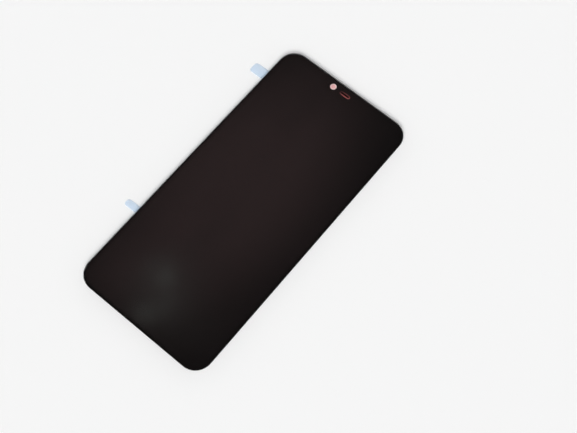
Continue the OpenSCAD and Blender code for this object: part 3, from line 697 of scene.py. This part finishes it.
def release_finish(settings):
    """Clear bluish release film with small trapped bubbles and soft ripples."""
    finish = Finish("release_film")
    here = finish.place()
    ripple = finish.noise(finish.place(scale=(1.0, 0.4, 1.0), turn=0.5), 60.0, 2.0)
    bubble = finish.cells(here, 150.0).ramp(0.10, 0.16, 1.0, 0.0) * finish.noise(here, 40.0).over(0.55)
    base = settings.colours.release_blue
    shade = finish.blend(bubble * 0.5, rgba(base), (0.9, 0.94, 1.0, 1.0))
    normal = finish.bump(ripple, 0.25 * MM, 0.5)
    normal = finish.bump(bubble, 0.03 * MM, 1.0, normal)
    alpha = (0.26 + 0.2 * bubble) * finish.outside()
    return finish.done(finish.surface(shade, 0.1 + 0.08 * ripple, Alpha=alpha, Normal=normal))


class MakeCoverGlass(bpy.types.Operator):
    """Build the cover glass with its curved front edge and earpiece slot"""

    bl_idname = "phone_screen.cover_glass"
    bl_label = "Cover Glass"
    bl_options = {"REGISTER", "UNDO"}

    def execute(self, context):
        settings = context.scene.phone_screen
        glass = settings.glass
        low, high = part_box("cover_glass")
        size = high - low
        thickness = size.z + glass.seat
        bm = bmesh.new()
        top = rounded_face(bm, size, (0.0, 0.0), -glass.edge_drop, glass.corner_radius, glass.corner_steps)
        arc = (glass.edge_run ** 2 + glass.edge_drop ** 2) / (2.0 * glass.edge_drop)
        widest = math.asin(glass.edge_run / arc)
        for step in range(glass.edge_steps):
            here = widest * (1.0 - step / glass.edge_steps)
            there = widest * (1.0 - (step + 1) / glass.edge_steps)
            bmesh.ops.inset_region(bm, faces=[top], thickness=arc * (math.sin(here) - math.sin(there)),
                                   depth=arc * (math.cos(there) - math.cos(here)),
                                   use_boundary=True, use_even_offset=True)
        outline = [edge for edge in bm.edges if edge.is_boundary]
        wall = bmesh.ops.extrude_edge_only(bm, edges=outline)["geom"]
        wall_verts = [item for item in wall if isinstance(item, bmesh.types.BMVert)]
        drop = thickness - glass.back_bevel - glass.edge_drop
        bmesh.ops.translate(bm, vec=(0.0, 0.0, -drop), verts=wall_verts)
        lower = [edge for edge in bm.edges if edge.is_boundary]
        back = bmesh.ops.edgeloop_fill(bm, edges=lower)["faces"][0]
        bmesh.ops.recalc_face_normals(bm, faces=bm.faces)
        bmesh.ops.inset_region(bm, faces=[back], thickness=glass.back_bevel, depth=glass.back_bevel,
                               use_boundary=True, use_even_offset=True)
        round_edges(bm, outline, glass.edge_softness, 4)
        self.cut_slot(bm, glass, top, back)
        bmesh.ops.remove_doubles(bm, verts=bm.verts, dist=0.0002 * MM)
        bmesh.ops.recalc_face_normals(bm, faces=bm.faces)
        soften(bm)
        for face in bm.faces:
            face.material_index = 2 if face.normal.z < -0.999 else 0 if face.normal.z > 0.5 else 1
        materials = [polished_glass(settings), ground_edge(settings), bonded_back()]
        piece = new_piece("front_glass", bm, materials)
        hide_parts("cover_glass")
        return {"FINISHED"}

    def cut_slot(self, bm, glass, top, back):
        """Opens the earpiece slot through the flat front and back faces."""
        centre = middle("earpiece_gasket")
        rims = []
        for flat, grow in ((top, glass.slot_round), (back, 0.0)):
            level = flat.calc_center_median().z
            size = (glass.slot_length + 2 * grow, glass.slot_width + 2 * grow)
            outer = open_loop(bm, flat)
            plug = rounded_face(bm, size, centre, level, size[1] / 2 * JUST_UNDER, ROUND_END_STEPS)
            bmesh.ops.triangle_fill(bm, use_beauty=True, edges=outer + list(plug.edges))
            if grow:
                self.round_rim(bm, plug, grow)
            rims += open_loop(bm, plug)
        bmesh.ops.bridge_loops(bm, edges=rims)

    def round_rim(self, bm, plug, radius, steps=4):
        """Sinks the plug along a quarter round, which leaves a rounded rim about it."""
        for step in range(steps):
            here, there = (math.pi / 2 * (step + more) / steps for more in (0, 1))
            bmesh.ops.inset_region(bm, faces=[plug], thickness=radius * (math.sin(there) - math.sin(here)),
                                   depth=-radius * (math.cos(here) - math.cos(there)),
                                   use_boundary=True, use_even_offset=False)


class DressPictureLayers(bpy.types.Operator):
    """Finish the print, adhesive, polarisers and the two glasses of the liquid-crystal cell"""

    bl_idname = "phone_screen.picture_layers"
    bl_label = "Picture Layers"
    bl_options = {"REGISTER", "UNDO"}

    def execute(self, context):
        settings = context.scene.phone_screen
        colours = settings.colours
        dress("border_print", plain_black("border_print_black", colours.print_black, 0.7, 0.2))
        dress("optical_adhesive", plain_black("bonded_adhesive", colours.picture_black, 0.6, 0.2))
        dress("front_polariser", plain_black("front_polariser_black", colours.picture_black, 0.6, 0.2))
        dress("rear_polariser", plain_black("rear_polariser_grey", (0.03, 0.03, 0.034), 0.3, 0.3))
        dress("filter_glass", cell_glass_finish("filter_glass_edge", colours.cell_glass))
        dress("transistor_glass", cell_glass_finish("transistor_glass_edge", colours.cell_glass))
        dress("rim_tape", tape_finish("rim_tape_black", colours.tape_black))
        dress("driver_chip", silicon_finish())
        return {"FINISHED"}


class MakeCameraWindow(bpy.types.Operator):
    """Build the pale film behind the camera window"""

    bl_idname = "phone_screen.camera_window"
    bl_label = "Camera Window"
    bl_options = {"REGISTER", "UNDO"}

    def execute(self, context):
        settings = context.scene.phone_screen
        low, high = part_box("camera_film")
        centre = (low + high) / 2
        bm = bmesh.new()
        bmesh.ops.create_cone(bm, cap_ends=True, segments=96, radius1=(high.x - low.x) / 2,
                              radius2=(high.x - low.x) / 2, depth=high.z - low.z)
        bmesh.ops.translate(bm, vec=centre, verts=bm.verts)
        rims = [edge for edge in bm.edges if edge.calc_face_angle(0.0) > 1.0]
        round_edges(bm, rims, settings.rounding.film, 3)
        soften(bm)
        piece = new_piece("camera_window_film", bm, [window_film_finish(settings)])
        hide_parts("camera_film")
        return {"FINISHED"}


class MakeEarpiece(bpy.types.Operator):
    """Build the earpiece gasket with rounded lips, and the black mesh behind it on its dust cloth"""

    bl_idname = "phone_screen.earpiece"
    bl_label = "Earpiece Gasket and Mesh"
    bl_options = {"REGISTER", "UNDO"}

    def execute(self, context):
        settings = context.scene.phone_screen
        refined("earpiece_gasket", "earpiece_ring", settings.rounding.gasket, [gasket_finish(settings)], 3)
        woven = woven_finish("black_mesh", (0.014, 0.008, 0.008), 0.12, 0.0, 0.7, 0.1)
        mesh = refined("earpiece_mesh", "black_mesh", settings.rounding.contact, [woven]).data
        bm = bmesh.new()
        bm.from_mesh(mesh)
        self.add_cloth(bm)
        bm.to_mesh(mesh)
        bm.free()
        return {"FINISHED"}

    def add_cloth(self, bm):
        """Thin cloth under the mesh, which closes its holes to dust and light."""
        low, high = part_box("earpiece_mesh")
        size = (high - low) * 0.96
        cloth = rounded_face(bm, size, middle("earpiece_mesh"), low.z, size.y / 2 * JUST_UNDER,
                             ROUND_END_STEPS)
        sunk = bmesh.ops.extrude_face_region(bm, geom=[cloth])["geom"]
        verts = [item for item in sunk if isinstance(item, bmesh.types.BMVert)]
        bmesh.ops.translate(bm, vec=(0.0, 0.0, -0.02 * MM), verts=verts)
        bmesh.ops.recalc_face_normals(bm, faces=bm.faces)


class MakeBacklight(bpy.types.Operator):
    """Build the steel pan with rolled edges and finish the frame, films, light guide and lamps"""

    bl_idname = "phone_screen.backlight"
    bl_label = "Backlight"
    bl_options = {"REGISTER", "UNDO"}

    def execute(self, context):
        settings = context.scene.phone_screen
        colours, rounding = settings.colours, settings.rounding
        refined("rear_pan", "steel_pan", rounding.pan, [steel_finish(colours.steel)])
        refined("backlight_frame", "white_frame", rounding.frame,
                [resin_finish("white_resin", colours.resin)])
        dress("upper_prism_film", film_finish("upper_prism", (0.8, 0.84, 0.88), 0.12, 0.8, 0.05))
        dress("lower_prism_film", film_finish("lower_prism", (0.78, 0.82, 0.87), 0.12, 0.8, 0.05))
        dress("diffuser_film", film_finish("diffuser", (0.9, 0.9, 0.89), 0.6, 0.9))
        dress("reflector_film", film_finish("reflector", (0.9, 0.9, 0.92), 0.25, 1.0))
        dress("light_guide", guide_finish())
        dress("leds", lamp_finish())
        refined("led_strip", "lamp_strip", rounding.flex, [strip_finish(settings)])
        return {"FINISHED"}


class MakeFlex(bpy.types.Operator):
    """Build the folded main flex with its tape, stiffener and grounding foil"""

    bl_idname = "phone_screen.flex"
    bl_label = "Main Flex"
    bl_options = {"REGISTER", "UNDO"}

    def execute(self, context):
        settings = context.scene.phone_screen
        colours, rounding = settings.colours, settings.rounding
        refined("main_flex", "amber_flex", rounding.flex, [flex_finish(settings)])
        dress("flex_tape", tape_finish("flex_tape_black", colours.tape_black))
        dress("connector_stiffener", tin_finish("stiffener_steel", colours.tin, 0.3))
        refined("grounding_foil", "conductive_foil", rounding.foil,
                [woven_finish("conductive_cloth", (0.62, 0.62, 0.61), 0.22, 0.9, 0.3)])
        return {"FINISHED"}


class MakeConnector(bpy.types.Operator):
    """Build the board connector's housing, contacts and anchors with rounded edges"""

    bl_idname = "phone_screen.connector"
    bl_label = "Board Connector"
    bl_options = {"REGISTER", "UNDO"}

    def execute(self, context):
        settings = context.scene.phone_screen
        colours, rounding = settings.colours, settings.rounding
        refined("connector_housing", "plug_housing", rounding.moulding,
                [resin_finish("ivory_resin", colours.housing, 0.36, 5000.0)])
        refined("connector_contacts", "plug_contacts", rounding.contact,
                [tin_finish("gold_plate", colours.gold, 0.14)])
        refined("connector_anchors", "plug_anchors", rounding.moulding,
                [tin_finish("anchor_tin", colours.tin, 0.22)])
        return {"FINISHED"}


class MakeComponents(bpy.types.Operator):
    """Build the chips, capacitors and solder joints on the flex"""

    bl_idname = "phone_screen.components"
    bl_label = "Flex Components"
    bl_options = {"REGISTER", "UNDO"}

    def execute(self, context):
        settings = context.scene.phone_screen
        colours, rounding = settings.colours, settings.rounding
        refined("touch_chip", "touch_controller", rounding.chip, [chip_finish(settings, "touch_chip", 0.22)])
        refined("memory_chip", "memory_package", rounding.chip, [chip_finish(settings, "memory_chip", 0.16)])
        ceramic = resin_finish("capacitor_ceramic", colours.ceramic, 0.45, 7000.0)
        caps = refined("flex_capacitors", "ceramic_capacitors", rounding.capacitor,
                       [ceramic, tin_finish("capacitor_ends", colours.tin, 0.25)])
        self.tin_ends(caps.data)
        refined("led_solder", "solder_joints", rounding.solder, [tin_finish("solder", colours.tin, 0.12)], 4)
        return {"FINISHED"}

    def tin_ends(self, mesh):
        """Gives the capacitors' two ends their tin."""
        bm = bmesh.new()
        bm.from_mesh(mesh)
        left = set(bm.faces)
        while left:
            body = [left.pop()]
            for face in body:
                for edge in face.edges:
                    for other in edge.link_faces:
                        if other in left:
                            left.discard(other)
                            body.append(other)
            verts = {vert for face in body for vert in face.verts}
            low = Vector([min(vert.co[axis] for vert in verts) for axis in range(3)])
            high = Vector([max(vert.co[axis] for vert in verts) for axis in range(3)])
            axis = 0 if high.x - low.x > high.y - low.y else 1
            cap = (high[axis] - low[axis]) * 0.245
            for face in body:
                centre = face.calc_center_median()[axis]
                face.material_index = int(centre < low[axis] + cap or centre > high[axis] - cap)
        bm.to_mesh(mesh)
        bm.free()


class MakeRearFilm(bpy.types.Operator):
    """Build the clear release film on the pan"""

    bl_idname = "phone_screen.rear_film"
    bl_label = "Release Film"
    bl_options = {"REGISTER", "UNDO"}

    def execute(self, context):
        settings = context.scene.phone_screen
        refined("rear_film", "release_film", settings.rounding.film, [release_finish(settings)],
                lower=CLEAR_FILM_GAP)
        return {"FINISHED"}


class MakePullTabs(bpy.types.Operator):
    """Build the two blue pull tabs, flat on the film and drooping past the edge"""

    bl_idname = "phone_screen.pull_tabs"
    bl_label = "Pull Tabs"
    bl_options = {"REGISTER", "UNDO"}

    def execute(self, context):
        settings = context.scene.phone_screen
        material = tab_finish(settings)
        for node, name in (("upper_pull_tab", "upper_tab"), ("lower_pull_tab", "lower_tab")):
            refined(node, name, settings.rounding.film, [material], lower=2 * CLEAR_FILM_GAP)
        return {"FINISHED"}


class MakeStage(bpy.types.Operator):
    """Set out the floor, the soft card, the lights, the room and the camera"""

    bl_idname = "phone_screen.stage"
    bl_label = "Stage"
    bl_options = {"REGISTER", "UNDO"}

    def execute(self, context):
        settings = context.scene.phone_screen
        stage = settings.stage
        context.scene.view_settings.view_transform = "Standard"
        self.make_floor(stage)
        self.make_card(stage)
        self.make_room(stage)
        self.add_sun("key_light", (0.5, -0.75, 1.0), 40.0, stage.key_strength)
        self.make_camera(stage)
        return {"FINISHED"}

    def make_floor(self, stage):
        """A pale floor at the lowest point. It is seen from above only."""
        bm = bmesh.new()
        bmesh.ops.create_grid(bm, x_segments=1, y_segments=1, size=stage.floor_size / 2)
        bmesh.ops.translate(bm, vec=(0.0, 0.0, cad_box[0].z), verts=bm.verts)
        finish = Finish("pale_floor")
        matt = finish.surface(rgba(stage.floor_colour), 0.9, Specular=0.0)
        nothing = finish.node("BsdfTransparent")
        under = finish.node("NewGeometry", output="Backfacing")
        floor = new_piece("floor", bm, [finish.done(finish.mixed(under, matt, nothing))], None)
        floor.visible_diffuse = False
        floor.visible_glossy = False
        floor.visible_shadow = False

    def make_card(self, stage):
        """A soft card over the screen, whose glow is what the black glass shows."""
        place = stage.camera_place
        stretch = (place.z + stage.card_height) / place.z
        centre = Vector((place.x * (1.0 - stretch), place.y * (1.0 - stretch), stage.card_height))
        bm = bmesh.new()
        bmesh.ops.create_grid(bm, x_segments=1, y_segments=1, size=0.7)
        bmesh.ops.translate(bm, vec=centre, verts=bm.verts)
        finish = Finish("soft_card")
        shown = 1.0 / (stretch * MM)
        x, y = finish.axes(finish.place(origin=centre, scale=(shown, shown, 1.0)))[:2]
        across = (x + 9.0) / 44.0
        along = (y - 5.0) / 85.0
        glow = ((across * across + along * along) ** 0.5).ramp(0.35, 1.25, stage.card_light, 0.0)
        glow = glow + self.patch(x, y, (-26.0, -66.0), (20.0, 24.0)) * 0.14
        cloud = sum(self.patch(x, y, centre, reach) * weight for centre, reach, weight in CLOUD_PATCHES)
        warm = finish.node("Emission", None, {"Color": (1.0, 0.66, 0.66, 1.0)})
        plain = finish.node("Emission", None, {"Color": (0.96, 1.0, 0.94, 1.0)})
        nothing = finish.node("BsdfTransparent", None, {"Color": WHITE})
        both = finish.mixed(cloud * stage.cloud_light, finish.mixed(glow, nothing, warm), plain)
        card = new_piece("soft_card", bm, [finish.done(both)], None)
        card.visible_camera = False
        card.visible_shadow = False
        card.visible_diffuse = False

    def patch(self, x, y, centre, reach):
        """A soft oval that falls from 1 at its centre to 0 at its reach."""
        across = (x - centre[0]) / reach[0]
        along = (y - centre[1]) / reach[1]
        return ((across * across + along * along) ** 0.5).ramp(0.0, 1.3, 1.0, 0.0)

    def make_room(self, stage):
        """A room that is bright at the horizon and dim overhead, and white to the camera.

        What lies under the floor lights the back directly, but never the floor by way of the back.
        """
        world = bpy.data.worlds.new("studio")
        room = Finish("studio", world)
        x, y, z = room.axes(room.node("TexCoord", output="Generated"))
        above = z.ramp(0.0, 0.8, stage.horizon, stage.ceiling)
        under = (1.0 + 0.5 * x - 0.4 * y) * stage.below
        direct = room.node("LightPath", output="Ray Depth").under(2.5)
        level = above * z.over(0.0) + under * z.under(0.0) * direct
        seen = room.node("LightPath", output="Is Camera Ray")
        lit = room.node("Background", None, {"Color": WHITE, "Strength": level})
        white = room.node("Background", None, {"Color": WHITE})
        bpy.context.scene.world = room.done(room.mixed(seen, lit, white), "OutputWorld")

    def add_sun(self, name, place, spread, strength):
        """A soft, even light from the side of a place, spread over an angle in degrees."""
        data = bpy.data.lights.new(name, "SUN")
        data.angle = math.radians(spread)
        data.energy = strength
        light = bpy.data.objects.new(name, data)
        light.location = place
        light.rotation_euler = Vector(place).to_track_quat("Z", "Y").to_euler()
        light.visible_glossy = False
        bpy.context.scene.collection.objects.link(light)

    def make_camera(self, stage):
        """The camera at the photograph's place."""
        data = bpy.data.cameras.new("camera")
        data.lens = stage.camera_lens
        data.sensor_width = 36.0
        data.clip_start = 0.01
        camera = bpy.data.objects.new("camera", data)
        toward = Vector(stage.camera_place) - Vector(stage.camera_aim)
        turn = toward.to_track_quat("Z", "Y").to_matrix() @ Matrix.Rotation(stage.camera_roll, 3, "Z")
        camera.matrix_world = Matrix.Translation(stage.camera_place) @ turn.to_4x4()
        bpy.context.scene.collection.objects.link(camera)
        bpy.context.scene.camera = camera


class PhoneScreenPanel(bpy.types.Panel):
    """Sidebar panel that lists the operators"""

    bl_idname = "VIEW3D_PT_phone_screen"
    bl_label = "Phone Screen"
    bl_space_type = "VIEW_3D"
    bl_region_type = "UI"
    bl_category = "Phone Screen"

    def draw(self, context):
        """Draws one button for each operator, then the settings."""
        for operator in OPERATORS:
            self.layout.operator(operator.bl_idname)
        settings = context.scene.phone_screen
        for group in (settings.glass, settings.colours, settings.rounding, settings.stage):
            box = self.layout.box()
            for key in group.__annotations__:
                box.prop(group, key)


OPERATORS = (
    MakeCoverGlass,
    DressPictureLayers,
    MakeCameraWindow,
    MakeEarpiece,
    MakeBacklight,
    MakeFlex,
    MakeConnector,
    MakeComponents,
    MakeRearFilm,
    MakePullTabs,
    MakeStage,
)
CLASSES = (GlassSettings, ColourSettings, RoundingSettings, StageSettings, ScreenSettings, *OPERATORS,
           PhoneScreenPanel)


def register():
    """Registers the classes and the scene's settings."""
    for each in CLASSES:
        bpy.utils.register_class(each)
    bpy.types.Scene.phone_screen = PointerProperty(type=ScreenSettings)


def unregister():
    """Removes what register() added."""
    del bpy.types.Scene.phone_screen
    for each in reversed(CLASSES):
        bpy.utils.unregister_class(each)


def main():
    """Builds every piece in order."""
    register()
    bpy.ops.phone_screen.cover_glass()
    bpy.ops.phone_screen.picture_layers()
    bpy.ops.phone_screen.camera_window()
    bpy.ops.phone_screen.earpiece()
    bpy.ops.phone_screen.backlight()
    bpy.ops.phone_screen.flex()
    bpy.ops.phone_screen.connector()
    bpy.ops.phone_screen.components()
    bpy.ops.phone_screen.rear_film()
    bpy.ops.phone_screen.pull_tabs()
    bpy.ops.phone_screen.stage()


if __name__ == "__main__":
    main()
